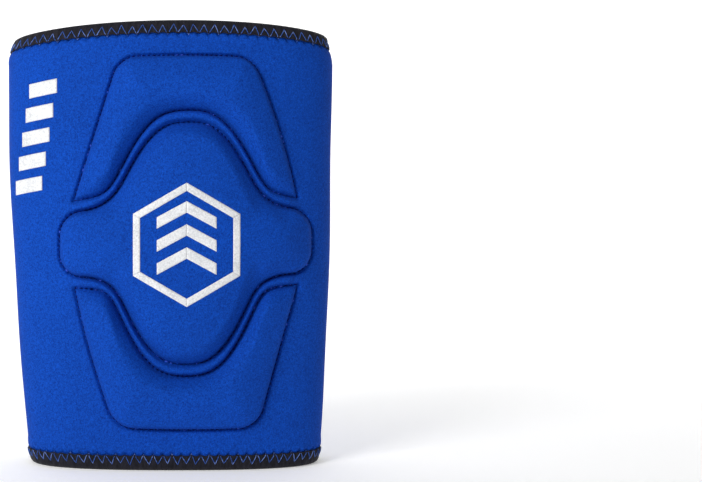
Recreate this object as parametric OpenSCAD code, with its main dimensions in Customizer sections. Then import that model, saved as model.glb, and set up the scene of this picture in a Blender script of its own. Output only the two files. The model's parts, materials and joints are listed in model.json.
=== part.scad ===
// Padded elbow sleeve: a flattened neoprene tube with three foam pads in front.
// It stands on its forearm hem. +Z runs to the upper arm, -Y is the padded front,
// and the origin is under the middle of the sleeve.

/* [Sleeve] */
// Height from hem to hem at the pads' centre line
sleeve_h = 200; // [196:1:206]
// Half width at the forearm hem
forearm_half_w = 66.8; // [64:0.1:69]
// Half width at the upper-arm hem
upper_half_w = 75.3; // [73:0.1:78]
// Half depth at the forearm hem
forearm_half_d = 26; // [24:0.5:29]
// Half depth at the upper-arm hem
upper_half_d = 31; // [29:0.5:33]
// How much the sides of the top hem drop below its middle
rim_drop = 5.5; // [3:0.5:6]

/* [Fabric] */
// Thickness of the outer neoprene
cover_t = 2.5; // [2:0.1:3]
// Thickness of the lining behind the foam
lining_t = 1; // [0.6:0.1:1.2]
// Thickness of the hem binding
binding_t = 0.7; // [0.5:0.1:0.9]
// Width of the forearm hem's binding
binding_w = 6.9; // [6:0.1:8]
// Width of the upper-arm hem's binding
top_binding_w = 5.9; // [5.5:0.1:8]

/* [Pads] */
// Distance of the pads' centre line from the sleeve's middle
pad_shift = 7; // [5:0.5:8]
// How far the pads stand out from the sleeve
pad_stand = 9; // [7:0.5:10]
// Width of the round shoulder at a pad's edge
edge_roll = 7; // [5:0.5:9]
// Half width of the rib between two pads, where it is narrowest
rib_half_w = 1.8; // [1.6:0.1:2.2]
// Half width of the centre pad's wings
wing_half_w = 56.7; // [55:0.1:58]
// Half width of the upper and lower pads at their tips
tip_half_w = 50; // [48:0.5:51]
// Height of the upper pad's top edge
upper_pad_top = 184.2; // [182:0.1:186]
// Height of the lower pad's bottom edge
lower_pad_bottom = 18.2; // [16:0.1:20]

/* [Joints] */
// Height of the lower bending axis
forearm_axis_z = 62; // [60:0.5:64]
// Height of the upper bending axis
upper_axis_z = 138; // [136:0.5:140]
// Clearance between two moving sections
section_gap = 0.4; // [0.3:0.05:0.6]
// Slope of the cuts that leave room for the crease behind each axis
crease_slope = 0.6; // [0.58:0.01:0.65]

/* [Hidden] */

blue = "#13489a";
navy = "#1b2f6e";
black = "#222226";
silver = "#d8d9dc";
foam_grey = "#4a4c52";
thread_blue = "#7484c4";

// The cross-section is a superellipse; its middle sits behind the origin by
// half of what the pads stand out.
oval_power = 2.5;
flare_power = 0.75;
sleeve_y = 3.4;

// The hems draw the sleeve in, and its forearm end sits a little to the right.
bottom_pinch = 1;
top_pinch = 3;
pinch_run = 11;
lean = 1.9;
lean_run = 140;
lean_power = 1.3;

// Channels between the pads: nearly level wings with a bell-shaped arch in the middle.
// Each arch is [height of its wings, half width, shift to the right, height of its top, size of
// the rounding between top and wings, slope of the whole line].
mid_z = 100.5;
upper_arch = [16.5, 31.3, 0.6, 53.8, 22.6, 0.014];
lower_arch = [15.2, 31.2, 0, 54, 17, -0.014];
arch_power = 2.65;
side_start = 0.76;

// The rib is wider at the top of an arch and at the wings' ends.
rib_swell = 0.85;
rib_swell_w = 19;
rib_flare = 0.7;
rib_flare_start = 32;
rib_flare_run = 12;

// Straight sides of the upper and lower pads.
upper_corner_half_w = 31.9;
lower_corner_half_w = 33;
upper_corner_z = 177.4;
lower_corner_z = 22;
upper_tip_z = 120.5;
lower_tip_z = 82.5;
upper_round = 7.5;
lower_round = 8;
wing_round = 10;
edge_bend = 0.0008;

// A side's bow at its middle; a positive one is on the right, a negative one on the left.
upper_bow = 1.4;
lower_bow = -1.2;

// Share of a pad's height that belongs to its slow crown, and how far in the crown runs.
crown_share = 0.22;
crown_run = 22;

// Thin parts and small clearances.
ply_gap = 0.1;
lip_gap = 0.4;
foam_inset = 3.8;
foam_edge = 0.8;
foam_gap = 1.6;
tip_inset = 7.5;
gusset_gap = 0.3;
gusset_end = 4;
thread_r = 0.45;
print_t = 0.25;
print_gap = 0.25;
seam_sweep = 0.8;

// Zigzag stitching on the hems.
zig_count = 160;
zig_foot = 3.2;
zig_over = 0.3;

// Mesh density.
around = 52;
plain_around = 26;
foam_around = 18;
levels = [0, 0.03, 0.07, 0.12, 0.19, 0.28, 0.39, 0.5, 0.61, 0.72, 0.81, 0.88, 0.93, 0.97, 1];
foam_levels = [0, 0.08, 0.2, 0.4, 0.6, 0.8, 0.92, 1];
plain_levels = [0, 0.33, 0.67, 1];

// ---- Sleeve surface ----

function clamp01(v) = max(0, min(1, v));
function smooth(v) = let (c = clamp01(v)) c * c * (3 - 2 * c);
function lerp(a, b, v) = a + (b - a) * v;
function signed_pow(v) = sign(v) * pow(abs(v), 2 / oval_power);

function pinch(z) = bottom_pinch * (1 - smooth(z / pinch_run))
    + top_pinch * (1 - smooth((sleeve_h - z) / pinch_run));
function middle_x(z) = lean * pow(1 - clamp01(z / lean_run), lean_power);
function half_w(z) =
    forearm_half_w + (upper_half_w - forearm_half_w) * pow(sin(90 * clamp01(z / sleeve_h)), flare_power)
    - pinch(z);
function half_d(z) = lerp(forearm_half_d, upper_half_d, z / sleeve_h) - pinch(z) / 2;

// A point on the oval at angle t, moved out by off; the front is t = 180 to 360.
function ring_x(t, z, off = 0) = middle_x(z) + (half_w(z) + off) * signed_pow(cos(t));
function ring_y(t, z, off = 0) = sleeve_y + (half_d(z) + off) * signed_pow(sin(t));
function front_y(x, z, off = 0) =
    let (u = min(1, abs(x - middle_x(z)) / (half_w(z) + off)))
    sleeve_y - (half_d(z) + off) * pow(1 - pow(u, oval_power), 1 / oval_power);

function rim_z(x) = sleeve_h - rim_drop * pow((x - pad_shift) / (upper_half_w + pad_shift), 2);

// ---- Pad shape ----

function arch(px, shape) =
    let (top = shape[3] - (shape[3] - shape[0]) * pow(abs(px - shape[2]) / shape[1], arch_power),
         over = top - shape[0])
    (top + shape[0] + sqrt(over * over + shape[4] * shape[4])) / 2 + shape[5] * px;
function upper_channel(px) = mid_z + arch(px, upper_arch);
function lower_channel(px) = mid_z - arch(px, lower_arch);
function rib(px) =
    rib_half_w + rib_swell * exp(-pow(px / rib_swell_w, 4))
    + rib_flare * smooth((abs(px) - rib_flare_start) / rib_flare_run);

// A side is [tip height, corner height, half width at the corner, bow].
upper_side = [upper_tip_z, upper_corner_z, upper_corner_half_w, upper_bow];
lower_side = [lower_tip_z, lower_corner_z, lower_corner_half_w, lower_bow];
function side_line(px, side) =
    side[1] + (side[0] - side[1]) * (abs(px) - side[2]) / (tip_half_w - side[2]);
function side_half_w(px, z, side) =
    let (u = (z - side[1]) / (side[0] - side[1]))
    lerp(side[2], tip_half_w, u)
    + (px * side[3] > 0 ? abs(side[3]) * 4 * clamp01(u) * (1 - clamp01(u)) : 0);
function side_depth(px, z, side) =
    let (k = (tip_half_w - side[2]) / (side[0] - side[1]))
    (side_half_w(px, z, side) - abs(px)) / sqrt(1 + k * k);

// Distance to a channel's edge, measured square to the arch.
function channel_depth(px, z, shape, up) =
    let (slope = (arch(px + 0.5, shape) - arch(px - 0.5, shape)),
         gap = up * (z - mid_z) - arch(px, shape))
    gap / sqrt(1 + slope * slope);

function round_min(a, b, r) = a < r && b < r ? r - norm([r - a, r - b]) : min(a, b);

function upper_depth(px, z) =
    min(round_min(side_depth(px, z, upper_side), upper_pad_top - edge_bend * px * px - z, upper_round),
        channel_depth(px, z, upper_arch, 1) - rib(px));
function lower_depth(px, z) =
    min(round_min(side_depth(px, z, lower_side), z - lower_pad_bottom - edge_bend * px * px, lower_round),
        channel_depth(px, z, lower_arch, -1) - rib(px));
function centre_depth(px, z) =
    let (up = -channel_depth(px, z, upper_arch, 1) - rib(px),
         down = -channel_depth(px, z, lower_arch, -1) - rib(px))
    round_min(wing_half_w - abs(px), min(up, down), wing_round);

function dome(d) =
    pad_stand * ((1 - crown_share) * sin(90 * clamp01(d / edge_roll))
                 + crown_share * sin(90 * clamp01(d / crown_run)));
function pad_h(x, z) =
    let (px = x - pad_shift)
    max(dome(upper_depth(px, z)), dome(centre_depth(px, z)), dome(lower_depth(px, z)));
function skin_y(x, z) = front_y(x, z) - pad_h(x, z);

// ---- Where the sections meet ----

function wedge(t, z) = crease_slope * half_d(z) * pow(max(0, sin(t)), 2 / oval_power);
function side_blend(t) = smooth((abs(cos(t)) - side_start) / (1 - side_start));
function upper_cut(t, side) =
    sin(t) >= 0 ? upper_axis_z + side * wedge(t, upper_axis_z)
    : let (px = ring_x(t, upper_axis_z) - pad_shift)
      lerp(upper_channel(px) + rib(px), upper_axis_z, side_blend(t));
function lower_cut(t, side) =
    sin(t) >= 0 ? forearm_axis_z + side * wedge(t, forearm_axis_z)
    : let (px = ring_x(t, forearm_axis_z) - pad_shift)
      lerp(lower_channel(px) - rib(px), forearm_axis_z, side_blend(t));

half_gap = section_gap / 2;
hem_depth = binding_t + ply_gap;
function top_rim(t) = rim_z(ring_x(t, sleeve_h));
function bottom_rim(t) = 0;
function top_end(t) = top_rim(t) - hem_depth;
function upper_start(t) = upper_cut(t, 1) + half_gap;
function centre_end(t) = upper_cut(t, -1) - half_gap;
function centre_start(t) = lower_cut(t, 1) + half_gap;
function lower_end(t) = lower_cut(t, -1) - half_gap;
function bottom_start(t) = bottom_rim(t) + hem_depth;
bottom_band = binding_w - hem_depth;
top_band = top_binding_w - hem_depth;

// ---- Solids from point grids ----

// Closed slab between two matching grids of points. The faces' diagonals are mirrored
// about the middle column; tilt 1 runs them down and outwards, -1 up and outwards.
module slab(outer, inner, tilt = 1) {
    rows = len(outer);
    cols = len(outer[0]);
    function o(i, j) = i * cols + j;
    function n(i, j) = rows * cols + i * cols + j;
    function quad(a, b, c, d, other = false) =
        other ? [[a, b, d], [b, c, d]] : [[a, b, c], [a, c, d]];
    function far_half(j) = tilt * (j - cols / 2 + 1) > 0;
    polyhedron(
        points = concat([for (r = outer) each r], [for (r = inner) each r]),
        faces = concat(
            [for (i = [0 : rows - 2], j = [0 : cols - 2])
                each quad(o(i, j), o(i + 1, j), o(i + 1, j + 1), o(i, j + 1), far_half(j))],
            [for (i = [0 : rows - 2], j = [0 : cols - 2])
                each quad(n(i, j), n(i, j + 1), n(i + 1, j + 1), n(i + 1, j), far_half(j))],
            [for (j = [0 : cols - 2]) each quad(o(0, j), o(0, j + 1), n(0, j + 1), n(0, j))],
            [for (j = [0 : cols - 2])
                each quad(o(rows - 1, j + 1), o(rows - 1, j), n(rows - 1, j), n(rows - 1, j + 1))],
            [for (i = [0 : rows - 2]) each quad(o(i + 1, 0), o(i, 0), n(i, 0), n(i + 1, 0))],
            [for (i = [0 : rows - 2])
                each quad(o(i, cols - 1), o(i + 1, cols - 1), n(i + 1, cols - 1), n(i, cols - 1))]));
}

// Closed loop swept through matching rings of points.
module loop_sweep(rings) {
    count = len(rings);
    sides = len(rings[0]);
    function p(i, k) = (i % count) * sides + (k % sides);
    polyhedron(
        points = [for (r = rings) each r],
        faces = [for (i = [0 : count - 1], k = [0 : sides - 1])
            each [[p(i, k), p(i + 1, k), p(i + 1, k + 1)], [p(i, k), p(i + 1, k + 1), p(i, k + 1)]]]);
}

// Heights of a wall's rows between low and high. bands are the depths to which the
// binding covers its lower and upper end; such an end has a row at the binding's edge.
function row_heights(low, high, rows, bands) = concat(
    bands[0] > 0 ? [low] : [],
    [for (v = rows) lerp(low + bands[0], high - bands[1], v)],
    bands[1] > 0 ? [high] : []);

// Part of the sleeve's wall, from angle t0 to t1 and between two height functions.
// padded walls follow the pads' shape.
module wall(t0, t1, steps, low, high, outer_off, inner_off,
            bands = [0, 0], padded = false, rows = plain_levels, tilt = 1) {
    function grid(off) =
        let (columns = [for (i = [0 : steps])
            let (t = lerp(t0, t1, i / steps))
            [for (z = row_heights(low(t), high(t), rows, bands))
                let (x = ring_x(t, z, off))
                [x, ring_y(t, z, off) - (padded ? pad_h(x, z) : 0), z]]])
        [for (j = [0 : len(columns[0]) - 1]) [for (column = columns) column[j]]];
    slab(grid(outer_off), grid(inner_off), tilt);
}

module front_cover(low, high, bands = [0, 0], tilt = 1)
    wall(180, 360, around, low, high, 0, -cover_t, bands, true, levels, tilt);

module front_lining(low, high, bands = [0, 0])
    wall(180, 360, plain_around, low, high, -cover_t - ply_gap, -cover_t - lining_t, bands);

module back_panel(low, high, bands = [0, 0])
    wall(0, 180, plain_around, low, high, 0, -cover_t - lining_t, bands);

// Foam insert between two outline functions of the distance from the pads' centre line.
module foam(half_x, low, high) {
    function grid(depth) =
        [for (v = foam_levels) [for (i = [0 : foam_around])
            let (px = lerp(-half_x, half_x, i / foam_around), x = px + pad_shift,
                 z = lerp(low(px), high(px), v))
            [x, front_y(x, z, -cover_t) - depth(x, z), z]]];
    slab(grid(function (x, z) max(foam_edge, pad_h(x, z) - foam_gap)), grid(function (x, z) 0));
}

// Binding of width w folded over a rim; rim and inward give its height and direction.
// Its rings stand on the columns of the back panel and the front cover.
module binding(rim, inward, w) {
    lip = -cover_t - lining_t - lip_gap;
    section = [[binding_t, 0], [binding_t, w], [ply_gap, w], [ply_gap, binding_t],
               [lip, binding_t], [lip, w], [lip - binding_t, w], [lip - binding_t, 0]];
    order = inward > 0 ? [0 : 7] : [7 : -1 : 0];
    angles = concat([for (i = [0 : plain_around - 1]) 180 * i / plain_around],
                    [for (i = [0 : around - 1]) 180 + 180 * i / around]);
    loop_sweep([for (t = angles)
        [for (k = order)
            let (off = section[k][0], z = rim(t) + inward * section[k][1])
            [ring_x(t, z, off), ring_y(t, z, off), z]]]);
}

// Zigzag thread lying on a binding of width w.
module zigzag(rim, inward, w) {
    off = binding_t + thread_r + ply_gap;
    loop_sweep([for (i = [0 : zig_count - 1])
        let (t = 360 * i / zig_count,
             z = rim(t) + inward * (i % 2 == 0 ? zig_foot : w + zig_over))
        [for (k = [0 : 3])
            let (o = off + thread_r * cos(90 * k) * 0.9, h = z + thread_r * sin(90 * k) * 1.6)
            [ring_x(t, h, o), ring_y(t, h, o), h]]]);
}

// Thread laid on the front along a closed outline of [px, z] points.
module topstitch(outline) {
    count = len(outline);
    loop_sweep([for (i = [0 : count - 1])
        let (a = outline[(i + count - 1) % count], b = outline[(i + 1) % count],
             along = (b - a) / norm(b - a), across = [along[1], -along[0]])
        [for (k = [0 : 3])
            let (p = outline[i] + across * thread_r * cos(90 * k), x = p[0] + pad_shift)
            [x, front_y(x, p[1]) - thread_r * (1.2 + sin(90 * k)), p[1]]]]);
}

// Thin print on the front, inside four [px, z] corners given anticlockwise.
module print_patch(corners, cols, rows) {
    function grid(out) =
        [for (j = [0 : rows]) [for (i = [0 : cols])
            let (u = i / cols, v = j / rows,
                 p = lerp(lerp(corners[0], corners[1], u), lerp(corners[3], corners[2], u), v),
                 x = p[0] + pad_shift)
            [x, skin_y(x, p[1]) - out, p[1]]]];
    slab(grid(print_gap + print_t), grid(print_gap));
}

// Seam threads down both sides of a section.
module side_seams(low, high)
    for (side = [0, 180])
        wall(side - seam_sweep, side + seam_sweep, 2,
             function (t) low(side) + 1, function (t) high(side) - 1,
             ply_gap + 2 * thread_r, ply_gap, rows = levels);

// ---- Seam lines around the pads, as closed lists of [px, z] ----

// The seams lie this far outside the foam's edge, in the groove beside the rib.
groove = 0.8;
stitch_step = 3.5;

// Along a channel from one end to the other, moved towards a pad by most of the rib.
// dir is the way it runs; away is 1 for the pad above the channel, -1 for the one below.
function arch_run(z_of, half_x, dir, away) =
    [for (x = [-half_x : stitch_step : half_x]) [dir * x, z_of(dir * x) + away * (rib(x) - groove)]];

// The side of a pad between its tip (u = 1) and its corner (u = 0), on the side of dir.
function side_run(from, step, to, dir, side) =
    [for (u = [from : step : to])
        let (z = lerp(side[1], side[0], u)) [dir * (side_half_w(dir, z, side) + groove), z]];

function end_run(from, step, to, z) = [for (x = [from : step : to]) [x, z]];

upper_outline = concat(
    arch_run(function (x) upper_channel(x), tip_half_w + 2.5, 1, 1),
    side_run(0.8, -0.2, 0, 1, upper_side),
    end_run(24, -12, -24, upper_pad_top + groove),
    side_run(0, 0.2, 0.8, -1, upper_side));

lower_outline = concat(
    arch_run(function (x) lower_channel(x), tip_half_w + 2.5, -1, -1),
    side_run(0.8, -0.2, 0, -1, lower_side),
    end_run(-26, 13, 26, lower_pad_bottom - groove),
    side_run(0, 0.2, 0.8, 1, lower_side));

wing_run = wing_half_w - wing_round;
function wing_end(side) =
    let (x = side * wing_run,
         low = lower_channel(x) + rib(x),
         top = upper_channel(x) - rib(x))
    [for (a = [-70 : 20 : 70])
        [x + side * (wing_round + groove) * cos(a),
         (top + low) / 2 + side * (top - low) / 2 * sin(a)]];
centre_outline = concat(
    arch_run(function (x) lower_channel(x), wing_run, 1, 1),
    wing_end(1),
    arch_run(function (x) upper_channel(x), wing_run, -1, -1),
    wing_end(-1));

// ---- Forearm section ----

module lower_front_cover() color(blue)
    front_cover(function (t) bottom_start(t), function (t) lower_end(t), [bottom_band, 0], -1);

module lower_back_panel() color(blue)
    back_panel(function (t) bottom_start(t), function (t) lower_end(t), [bottom_band, 0]);

module lower_foam() color(foam_grey)
    foam(tip_half_w - tip_inset,
         function (px) max(lower_pad_bottom, side_line(abs(px) + foam_inset, lower_side)) + foam_inset,
         function (px) lower_channel(px) - rib(px) - foam_inset);

module lower_lining() color(black)
    front_lining(function (t) bottom_start(t), function (t) lower_end(t), [bottom_band, 0]);

module bottom_hem() color(black) binding(function (t) bottom_rim(t), 1, binding_w);

module bottom_hem_zigzag() color(thread_blue) zigzag(function (t) bottom_rim(t), 1, binding_w);

module lower_topstitch() color(navy) topstitch(lower_outline);

module lower_side_seams() color(navy)
    side_seams(function (t) binding_w, function (t) lower_end(t));

// ---- Elbow section ----

module centre_front_cover() color(blue)
    front_cover(function (t) centre_start(t), function (t) centre_end(t));

module centre_back_panel() color(blue)
    back_panel(function (t) centre_start(t), function (t) centre_end(t));

module centre_foam() color(foam_grey)
    foam(wing_half_w - 4,
         function (px) lower_channel(px) + rib(px) + foam_inset,
         function (px) upper_channel(px) - rib(px) - foam_inset);

module centre_lining() color(black)
    front_lining(function (t) centre_start(t), function (t) centre_end(t));

module centre_topstitch() color(navy) topstitch(centre_outline);

module centre_side_seams() color(navy)
    side_seams(function (t) centre_start(t), function (t) centre_end(t));

// Generic mark: a hexagonal frame around three chevrons.
emblem_r = 27;
emblem_line = 3.6;
chevron_w = 13;
chevron_h = 5;
chevron_rise = 7;
module emblem_print() color(silver) {
    for (a = [0 : 60 : 300])
        let (p = [sin(a), cos(a)], q = [sin(a + 60), cos(a + 60)], c = [0, mid_z],
             inner_r = emblem_r - emblem_line)
            print_patch([c + p * inner_r, c + q * inner_r, c + q * emblem_r, c + p * emblem_r], 5, 1);
    for (z = [-13, -3, 7], side = [-1, 1])
        let (low = mid_z + z, tip = [0, low + chevron_rise], foot = [side * chevron_w, low],
             left = side > 0 ? tip : foot, right = side > 0 ? foot : tip, up = [0, chevron_h])
            print_patch([left, right, right + up, left + up], 3, 1);
}

// Creased zones of the back panel behind the two axes.
module crease_gusset(axis_z)
    wall(gusset_end, 180 - gusset_end, plain_around,
         function (t) axis_z - wedge(t, axis_z) + section_gap,
         function (t) axis_z + wedge(t, axis_z) - section_gap,
         -gusset_gap, -cover_t - lining_t + gusset_gap);

module upper_crease_gusset() color(navy) crease_gusset(upper_axis_z);

module lower_crease_gusset() color(navy) crease_gusset(forearm_axis_z);

// ---- Upper-arm section ----

module upper_front_cover() color(blue)
    front_cover(function (t) upper_start(t), function (t) top_end(t), [0, top_band]);

module upper_back_panel() color(blue)
    back_panel(function (t) upper_start(t), function (t) top_end(t), [0, top_band]);

module upper_foam() color(foam_grey)
    foam(tip_half_w - tip_inset,
         function (px) upper_channel(px) + rib(px) + foam_inset,
         function (px) min(upper_pad_top, side_line(abs(px) + foam_inset, upper_side)) - foam_inset);

module upper_lining() color(black)
    front_lining(function (t) upper_start(t), function (t) top_end(t), [0, top_band]);

module top_hem() color(black) binding(function (t) top_rim(t), -1, top_binding_w);

module top_hem_zigzag() color(thread_blue) zigzag(function (t) top_rim(t), -1, top_binding_w);

module upper_topstitch() color(navy) topstitch(upper_outline);

module upper_side_seams() color(navy)
    side_seams(function (t) upper_start(t), function (t) top_rim(t) - top_binding_w);

// Generic mark: a ladder of slanted bars up one side.
mark_x = -77.5;
mark_z = 123;
bar_count = 5;
bar_w = 13;
bar_h = 6.4;
bar_pitch = 10.8;
mark_lean = 0.16;
module side_mark_print() color(silver)
    for (i = [0 : bar_count - 1])
        let (z = mark_z + i * bar_pitch, x = mark_x + i * bar_pitch * mark_lean)
            print_patch([[x, z], [x + bar_w, z + 2], [x + bar_w, z + 2 + bar_h], [x, z + bar_h]], 7, 1);

lower_front_cover();
lower_back_panel();
lower_foam();
lower_lining();
bottom_hem();
bottom_hem_zigzag();
lower_topstitch();
lower_side_seams();
centre_front_cover();
centre_back_panel();
centre_foam();
centre_lining();
centre_topstitch();
centre_side_seams();
emblem_print();
upper_crease_gusset();
lower_crease_gusset();
upper_front_cover();
upper_back_panel();
upper_foam();
upper_lining();
top_hem();
top_hem_zigzag();
upper_topstitch();
upper_side_seams();
side_mark_print();
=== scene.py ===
"""Padded elbow sleeve: the blue padded skin, its lining, bound hems, stitching and prints.

The sleeve is a flattened tube on a superellipse section. Shapes are worked out in millimetres
in the part's own frame, with the front towards -y, and turned into metres when a mesh is made.
px is the distance to the right of the pads' middle, and t is the angle round the section: the
front is t from pi to 2 pi, the back goes on to 3 pi.
"""
import json
import math

import bmesh
import bpy
import numpy as np
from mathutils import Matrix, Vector
from mathutils.bvhtree import BVHTree
from mathutils.kdtree import KDTree


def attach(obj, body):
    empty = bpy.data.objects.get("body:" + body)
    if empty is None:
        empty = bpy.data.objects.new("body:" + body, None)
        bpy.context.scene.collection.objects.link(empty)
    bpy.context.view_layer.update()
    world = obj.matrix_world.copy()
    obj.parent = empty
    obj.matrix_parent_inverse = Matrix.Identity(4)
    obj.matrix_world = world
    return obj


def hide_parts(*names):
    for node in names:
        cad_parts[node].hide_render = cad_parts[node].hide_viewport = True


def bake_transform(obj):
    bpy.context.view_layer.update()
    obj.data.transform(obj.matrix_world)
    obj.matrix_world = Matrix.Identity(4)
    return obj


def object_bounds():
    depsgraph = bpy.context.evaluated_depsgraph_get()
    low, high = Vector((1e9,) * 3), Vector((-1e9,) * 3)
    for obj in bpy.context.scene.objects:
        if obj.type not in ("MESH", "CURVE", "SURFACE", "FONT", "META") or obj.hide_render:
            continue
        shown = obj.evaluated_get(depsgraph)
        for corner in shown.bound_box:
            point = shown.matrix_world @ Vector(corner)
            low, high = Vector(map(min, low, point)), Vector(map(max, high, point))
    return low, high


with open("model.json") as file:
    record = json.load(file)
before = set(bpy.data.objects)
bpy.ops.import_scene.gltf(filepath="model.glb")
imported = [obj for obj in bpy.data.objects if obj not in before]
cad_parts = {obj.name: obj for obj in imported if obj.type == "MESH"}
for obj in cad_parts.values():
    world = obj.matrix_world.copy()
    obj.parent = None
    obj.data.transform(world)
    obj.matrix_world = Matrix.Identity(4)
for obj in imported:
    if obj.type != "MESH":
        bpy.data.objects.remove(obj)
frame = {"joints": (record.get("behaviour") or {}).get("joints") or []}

CAD_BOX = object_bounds()
MM = 0.001
BACKWARD = Vector((0.0, 1.0, 0.0))
FAR_OFF = 0.2  # metres, well outside the sleeve

# ---- Driving sizes, in millimetres ----

JOINTS = {joint["name"]: joint for joint in frame["joints"]}
SLEEVE_Y = JOINTS["upper_arm_bend"]["pos_m"][1] / MM
UPPER_AXIS_Z = JOINTS["upper_arm_bend"]["pos_m"][2] / MM
FOREARM_AXIS_Z = JOINTS["forearm_bend"]["pos_m"][2] / MM
SLEEVE_H = CAD_BOX[1][2] / MM
SPLIT_Z = (UPPER_AXIS_Z + FOREARM_AXIS_Z) / 2

FOREARM_HALF_W, UPPER_HALF_W = 66.8, 75.3
FOREARM_HALF_D, UPPER_HALF_D = 26.0, 31.0
OVAL_POWER, FLARE_POWER = 2.5, 0.75
BOTTOM_PINCH, TOP_PINCH, PINCH_RUN = 1.0, 3.0, 11.0
LEAN, LEAN_RUN, LEAN_POWER = 1.9, 140.0, 1.3
RIM_DROP = 5.5
LINING_DEPTH = 3.5

PAD_SHIFT = 7.0
PAD_STAND, CLOTH_SWELL = 7.8, 2.2
MID_Z = 100.5

# Each arch is (wing height, half width, shift, top height, rounding, slope).
UPPER_ARCH = (16.5, 31.3, 0.6, 53.8, 22.6, 0.014)
LOWER_ARCH = (15.2, 31.2, 0.0, 54.0, 17.0, -0.014)
ARCH_POWER = 2.65
RIB_HALF_W, RIB_H, RIB_POWER = 1.8, 2.3, 2.4
RIB_SWELL, RIB_SWELL_RUN = 0.85, 19
RIB_FLARE, RIB_FLARE_START, RIB_FLARE_RUN = 0.7, 32, 12
RIB_END_START, RIB_END_RUN = 43, 9
RIB_SEAM_GAP = 0.35

# Each side is (tip height, corner height, corner half width, bow).
UPPER_SIDE, UPPER_TOP = (120.5, 177.4, 31.9, 1.4), 184.2
LOWER_SIDE, LOWER_BOTTOM = (82.5, 22.0, 33.0, -1.2), 18.2
TIP_HALF_W, WING_HALF_W = 50.0, 56.7
UPPER_ROUND, LOWER_ROUND, WING_ROUND = 7.5, 8.0, 10.0
EDGE_BEND = 0.0008

# The foam's edge rises as a sum of quarter waves, each (share of the height, run).
STEEP_RISE = ((0.86, 7.5), (0.14, 24))
GENTLE_RISE = ((0.34, 2.2), (0.66, 19))
WING_START, WING_RUN = 36, 14

TOP_BINDING_W, BOTTOM_BINDING_W, BINDING_T = 5.9, 6.9, 0.75
TOP_ZIG_LOW, BOTTOM_ZIG_LOW = 2.3, 3.1
ZIG_PITCH, HEM_THREAD_R = 4.5, 0.16
STITCH_PITCH, STITCH_R = 2.3, 0.3
SIDE_SEAM_PITCH, SIDE_SEAM_HALF_W, SIDE_SEAM_R = 2.4, 1.7, 0.2
PRINT_T, PRINT_SINK, PRINT_CELL = 0.16, 0.1, 0.8

# The pads' seams: how finely they are traced, the points to a stitch, and those it runs through.
TRACE_STEP = 0.1
POINTS_PER_STITCH = 10
STITCH_POINTS = (1, 2, 4, 5, 7)
GROOVE_DEPTH, GROOVE_HALF_W = 2.1, 0.66
CHANNEL_GROOVE_DEPTH, CHANNEL_GROOVE_HALF_W = 0.4, 0.2

# Creases in the crook of the arm, each (height, depth).
CREASES = ((78, -0.7), (92, -1.1), (106, -1.0), (121, -0.7))
CREASE_HALF_W = 4.2

# Grid steps along the front and the back, and rows between the hems and the two channels.
FRONT_STEP, BACK_STEP = 0.5, 2.2
ZONE_ROWS = (124, 88, 88, 124)
SIDE_START = 0.76
COARSE = 4
CLOTH_SCALE, CLOTH_STEPS, SETTLE_PASSES = 10, 20, 10
LINING_FRONT_STEP, LINING_BACK_STEP = 2.0, 3.0
LINING_ROWS = (30, 22, 22, 30)
BINDING_FRONT_STEP, BINDING_BACK_STEP = 0.75, 1.1

# ---- The sleeve's surface ----


def smooth(v):
    """0 below 0 and 1 above 1, with an even turn between."""
    c = np.clip(v, 0.0, 1.0)
    return c * c * (3 - 2 * c)


def signed_pow(v):
    """Turns a sine or cosine into a coordinate on the section's superellipse."""
    return np.sign(v) * np.abs(v) ** (2 / OVAL_POWER)


def pinch(z):
    """How far the hems draw the sleeve in."""
    return (BOTTOM_PINCH * (1 - smooth(z / PINCH_RUN))
            + TOP_PINCH * (1 - smooth((SLEEVE_H - RIM_DROP - z) / PINCH_RUN)))


def middle_x(z):
    """The sleeve leans a little to the right towards the forearm."""
    return LEAN * (1 - np.clip(z / LEAN_RUN, 0, 1)) ** LEAN_POWER


def half_w(z):
    """Half the sleeve's width, which flares towards the upper arm."""
    flare = np.sin(0.5 * np.pi * np.clip(z / SLEEVE_H, 0, 1)) ** FLARE_POWER
    return FOREARM_HALF_W + (UPPER_HALF_W - FOREARM_HALF_W) * flare - pinch(z)


def half_d(z):
    """Half the sleeve's depth from front to back."""
    return FOREARM_HALF_D + (UPPER_HALF_D - FOREARM_HALF_D) * z / SLEEVE_H - pinch(z) / 2


def ring(t, z, off=0.0):
    """x and y on the oval at angle t, moved out by off."""
    x = middle_x(z) + (half_w(z) + off) * signed_pow(np.cos(t))
    y = SLEEVE_Y + (half_d(z) + off) * signed_pow(np.sin(t))
    return x, y


def rim_z(x):
    """Height of the top rim, which drops towards the sides."""
    return SLEEVE_H - RIM_DROP * ((x - PAD_SHIFT) / (UPPER_HALF_W + PAD_SHIFT)) ** 2


def section_run(z, count):
    """Angles round the section at height z, and the distance run at each."""
    t = np.linspace(np.pi, 3 * np.pi, count)
    x, y = ring(t, z)
    return t, np.concatenate([[0], np.cumsum(np.hypot(np.diff(x), np.diff(y)))])


def section_angles(front_step, back_step, multiple=1):
    """Angles at even steps along the section, and how many of them make the front."""
    t, s = section_run(SPLIT_Z, 8001)
    half = s[len(s) // 2]
    front = multiple * round(half / front_step / multiple)
    back = round(half / back_step)
    along = np.concatenate([np.linspace(0, half, front, endpoint=False),
                            np.linspace(half, 2 * half, back, endpoint=False)])
    return np.interp(along, s, t), front


# ---- The pads ----


def arch(px, shape):
    """Height of a channel's middle line above or below MID_Z."""
    wing, width, shift, peak, rounding, slope = shape
    top = peak - (peak - wing) * (np.abs(px - shift) / width) ** ARCH_POWER
    return (top + wing + np.hypot(top - wing, rounding)) / 2 + slope * px


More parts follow.
